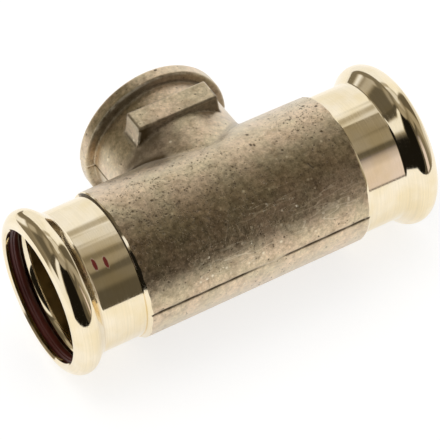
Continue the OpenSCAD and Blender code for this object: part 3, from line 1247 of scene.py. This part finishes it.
def ring_profile(size, side):
    """Section of the seal ring at one end, with a fine moulded groove round its inside."""
    groove_depth = 0.16
    groove_width = 5
    groove_turn = 180 - side * 20
    middle = (size.ring_radius, side * size.ring_x)
    profile = []
    for turn in np.linspace(0, 360, 81):
        sunk = groove_depth * math.exp(-((turn - groove_turn) / groove_width) ** 2)
        profile += arc(middle, size.ring_cord / 2 - sunk, turn, turn, 0)
    return profile


class PRESSTEE_OT_seals(bpy.types.Operator):
    """Makes the two rubber seal rings in the beads"""

    bl_idname = "press_tee.seals"
    bl_label = "Seal rings"

    def execute(self, context):
        size = context.scene.press_tee_sizes.in_mm()
        rubber = seal_rubber(context.scene.press_tee_finish)
        for node, side in (("seal_ring_left", -1), ("seal_ring_right", 1)):
            profile = ring_profile(size, side)
            ring = turned_form(node + "_moulded", profile, ROUND_X, size.turned_steps, rubber)
            ring.data.shade_smooth()
            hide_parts(node)
            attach(ring, "root")
        return {"FINISHED"}


# Camera of the photograph, found from the fitting's outlines: degrees, metres and pixels
CAMERA_AZIMUTH = -29.34
CAMERA_ELEVATION = 46.175
CAMERA_ROLL = -1.842
CAMERA_DISTANCE = 0.623163
FOCAL_PIXELS = 2493.4
FRAME_PIXELS = 440
ORIGIN_PIXEL = (221.82, 216.41)
SENSOR = 36.0


def add_camera():
    """Puts the camera at the photograph's viewing angle."""
    azimuth = math.radians(CAMERA_AZIMUTH)
    elevation = math.radians(CAMERA_ELEVATION)
    level = math.cos(elevation)
    towards = Vector((math.sin(azimuth) * level, -math.cos(azimuth) * level, math.sin(elevation)))
    right = Vector((math.cos(azimuth), math.sin(azimuth), 0))
    turn = Matrix((right, towards.cross(right), towards)).transposed()
    turn = turn @ Matrix.Rotation(math.radians(CAMERA_ROLL), 3, "Z")
    lens = bpy.data.cameras.new("photo_camera")
    lens.sensor_width = SENSOR
    lens.lens = SENSOR * FOCAL_PIXELS / FRAME_PIXELS
    lens.shift_x = (FRAME_PIXELS / 2 - ORIGIN_PIXEL[0]) / FRAME_PIXELS
    lens.shift_y = (ORIGIN_PIXEL[1] - FRAME_PIXELS / 2) / FRAME_PIXELS
    lens.clip_start = 0.01
    camera = bpy.data.objects.new("photo_camera", lens)
    camera.matrix_world = Matrix.Translation(towards * CAMERA_DISTANCE) @ turn.to_4x4()
    bpy.context.scene.collection.objects.link(camera)
    bpy.context.scene.camera = camera


def seen_directly(tree):
    """Gives 1 for rays that show the background: from the camera, off metal or through glass."""
    path = add_node(tree, "ShaderNodeLightPath").outputs
    rays = ("Is Camera Ray", "Is Glossy Ray", "Is Transmission Ray")
    return fold(tree, "MAXIMUM", [path[ray] for ray in rays])


WHITE = to_linear("#ffffff")


def add_world():
    """White studio all round, a little dimmer as a light than as a background."""
    as_light = 0.7
    world = bpy.data.worlds.new("white_studio")
    world.use_nodes = True
    tree = world.node_tree
    tree.nodes.clear()
    level = remap(tree, seen_directly(tree), 0.0, 1.0, as_light, 1.0)
    glow = add_node(tree, "ShaderNodeBackground", {"Color": WHITE, "Strength": level})
    add_node(tree, "ShaderNodeOutputWorld", {"Surface": glow.outputs["Background"]})
    world.cycles.sampling_method = "NONE"
    bpy.context.scene.world = world


def add_floor(finish):
    """Plain pale floor under the beads, which keeps the shadow."""
    reach = 1500
    gap = 0.03
    glow = 0.68
    level = CAD_BOX[0][2] / MM - gap
    points = [(-reach, -reach, level), (reach, -reach, level), (reach, reach, level), (-reach, reach, level)]
    floor = mesh_object("studio_floor", points, [(0, 1, 2, 3)])
    material, tree, shader, _ = new_material("matt_white_paper")
    inputs = {
        "Base Color": finish.floor_white,
        "Roughness": 0.9,
        "Specular IOR Level": 0.0,
        "Emission Color": WHITE,
        "Emission Strength": math_node(tree, "MULTIPLY", seen_directly(tree), glow),
    }
    set_inputs(tree, shader, inputs)
    floor.data.materials.append(material)


# What the polished metal sees round it: each flag or sheet changes the white studio between two
# azimuths (from the front, to the right) and two elevations, in degrees, with a soft edge, to a level.
# The dome stands on the floor close round the fitting, and opens out above it.
DOME_FOOT_RADIUS = 190.0
DOME_RADIUS = 1400.0
DOME_OPENS = 12.0
FLAGS = {
    "top_sheet": (-190, 190, 66, 100, 14, 0.36),
    "back_sheet": (92, 172, 64, 88, 8, 0.78),
    "back_white": (114, 148, -20, 47, 8, 1.07),
    "back_dim": (143, 190, 49, 59, 5, 0.50),
    "back_streak": (112, 143, 55, 62, 4, 0.50),
    "left_flag": (-179, -64, 12, 78, 8, 0.20),
    "left_edge": (-183, -164, -20, 78, 6, 0.22),
    "left_dim": (-140, -100, 22, 48, 8, 0.13),
    "left_glow": (-160, -104, 53, 67, 8, 0.36),
    "left_lamp": (-159, -142, 16, 36, 8, 0.50),
    "left_gap": (-101, -89, 13, 68, 4, 0.09),
    "left_low": (-146, -106, -20, 14, 8, 0.25),
    "right_sheet": (3, 112, -20, 71, 6, 0.22),
    "right_glow": (58, 83, -20, 57, 8, 0.42),
    "right_gap": (84, 112, 10, 64, 5, 0.14),
    "right_low": (72, 116, -20, 10, 8, 0.80),
    "upper_right": (60, 109, 60, 70, 5, 0.32),
    "top_right": (50, 94, 69.5, 86, 6, 0.50),
    "upper_sheet": (24, 62, 47, 62, 5, 0.34),
    "front_dim": (2, 26, -20, 64, 4, 0.10),
    "front_glow": (6, 26, 22, 40, 10, 0.20),
    "front_line": (8, 58, 40, 47, 4, 0.12),
    "left_strip": (-87, -71, 7, 66, 5, 1.0),
    "arch": (-74, 10, 70, 80, 6, 0.42),
    "front_flag": (-67, 5, -20, 68, 4, 0.01),
}
# The dark parts of the studio are a little warmer than its white
WARM_ROOM = to_linear("#ffefcf")
# A pink-white sheet close to the right front, in millimetres: x from and to, and y
FRONT_SHEET = (84, 140, -150)
FRONT_SHEET_COLOUR = to_linear("#fff1ed")
# Heights up the sheet and its level there: dark at its foot, and fading towards its top
FRONT_SHEET_LEVELS = [
    (-17.8, 0.30),
    (-11, 0.30),
    (-8.5, 0.83),
    (66, 0.81),
    (86, 0.66),
    (107, 0.56),
    (131, 0.32),
    (145, 0.12),
]


def show_in_reflections(made, dark, pale, levels):
    """Gives a stage piece a plain glow that only reflections see, with a level for each of its points."""
    material = bpy.data.materials.new(made.name)
    material.use_nodes = True
    tree = material.node_tree
    tree.nodes.clear()
    level = attribute_value(tree, "level")
    tint = mix_colours(tree, remap(tree, level, 0.25, 0.9), dark, pale)
    glow = add_node(tree, "ShaderNodeEmission", {"Color": tint, "Strength": level})
    add_node(tree, "ShaderNodeOutputMaterial", {"Surface": glow.outputs["Emission"]})
    made.data.materials.append(material)
    write_attribute(made.data, "level", levels)
    for rays in ("camera", "diffuse", "transmission", "volume_scatter", "shadow"):
        setattr(made, "visible_" + rays, False)


def add_front_sheet():
    """Small sheet in front of the right end, which lights its turned band."""
    low_x, high_x, y = FRONT_SHEET
    points = [(x, y, z) for z, _ in FRONT_SHEET_LEVELS for x in (low_x, high_x)]
    faces = [(i, i + 1, i + 3, i + 2) for i in range(0, len(points) - 2, 2)]
    sheet = mesh_object("front_sheet", points, faces)
    levels = np.repeat([level for _, level in FRONT_SHEET_LEVELS], 2)
    show_in_reflections(sheet, FRONT_SHEET_COLOUR, FRONT_SHEET_COLOUR, levels)


def soft_step(value, edge, softness):
    """Rises from 0 to 1 round an edge."""
    part = np.clip((value - edge) / softness + 0.5, 0, 1)
    return part * part * (3 - 2 * part)


def add_dome():
    """White studio dome with soft dark flags, which only reflections see."""
    turn_steps = 241
    rise_steps = 66
    foot = math.degrees(math.atan2(CAD_BOX[0][2] / MM - 1, DOME_FOOT_RADIUS))
    turns = np.linspace(-180, 180, turn_steps)
    rises = np.linspace(foot, 90, rise_steps)
    turn, rise = np.meshgrid(turns, rises, indexing="ij")
    level = np.ones_like(turn)
    for from_turn, to_turn, from_rise, to_rise, softness, aim in FLAGS.values():
        part = soft_step(turn, from_turn, softness) * soft_step(-turn, -to_turn, softness)
        part *= soft_step(rise, from_rise, softness) * soft_step(-rise, -to_rise, softness)
        level += part * (aim - level)
    opened = soft_step(rise, (foot + DOME_OPENS) / 2, DOME_OPENS - foot)
    radius = DOME_FOOT_RADIUS + (DOME_RADIUS - DOME_FOOT_RADIUS) * opened
    turn, rise = np.radians(turn), np.radians(rise)
    ball = np.stack([np.cos(rise) * np.sin(turn), -np.cos(rise) * np.cos(turn), np.sin(rise)], axis=-1)
    starts = [row * rise_steps + i for row in range(turn_steps - 1) for i in range(rise_steps - 1)]
    faces = [(start, start + 1, start + rise_steps + 1, start + rise_steps) for start in starts]
    dome = mesh_object("studio_dome", (radius[..., None] * ball).reshape(-1, 3), faces)
    show_in_reflections(dome, WARM_ROOM, WHITE, level.ravel())


def add_lamp():
    """Soft lamp high over the back of the fitting."""
    light = bpy.data.lights.new("overhead_softbox", "AREA")
    light.shape = "SQUARE"
    light.size = 0.7
    light.energy = 1.6
    lamp = bpy.data.objects.new("overhead_softbox", light)
    lamp.location = (-0.15, 0.25, 0.8)
    lamp.visible_glossy = False
    lamp.rotation_euler = (-lamp.location).to_track_quat("-Z", "Y").to_euler()
    bpy.context.scene.collection.objects.link(lamp)


class PRESSTEE_OT_stage(bpy.types.Operator):
    """Makes the floor, the studio light and the camera"""

    bl_idname = "press_tee.stage"
    bl_label = "Stage"

    def execute(self, context):
        context.scene.view_settings.view_transform = "Standard"
        add_camera()
        add_world()
        add_floor(context.scene.press_tee_finish)
        add_dome()
        add_front_sheet()
        add_lamp()
        return {"FINISHED"}


class PRESSTEE_PT_panel(bpy.types.Panel):
    """Lists the fitting's pieces, sizes and finishes"""

    bl_idname = "PRESSTEE_PT_panel"
    bl_label = "Press tee"
    bl_space_type = "VIEW_3D"
    bl_region_type = "UI"
    bl_category = "Press tee"

    def draw(self, context):
        for operator in (PRESSTEE_OT_stage, PRESSTEE_OT_body, PRESSTEE_OT_seals):
            self.layout.operator(operator.bl_idname)
        for group in (context.scene.press_tee_sizes, context.scene.press_tee_finish):
            box = self.layout.box()
            for name in type(group).__annotations__:
                box.prop(group, name)


CLASSES = (TeeSizes, TeeFinish, PRESSTEE_OT_stage, PRESSTEE_OT_body, PRESSTEE_OT_seals, PRESSTEE_PT_panel)


def register():
    """Registers the classes and puts the properties on the scene."""
    for cls in CLASSES:
        bpy.utils.register_class(cls)
    bpy.types.Scene.press_tee_sizes = PointerProperty(type=TeeSizes)
    bpy.types.Scene.press_tee_finish = PointerProperty(type=TeeFinish)


def unregister():
    """Takes the properties and the classes away again."""
    del bpy.types.Scene.press_tee_finish
    del bpy.types.Scene.press_tee_sizes
    for cls in reversed(CLASSES):
        bpy.utils.unregister_class(cls)


def main():
    """Makes the whole scene."""
    register()
    bpy.ops.press_tee.stage()
    bpy.ops.press_tee.body()
    bpy.ops.press_tee.seals()


if __name__ == "__main__":
    main()
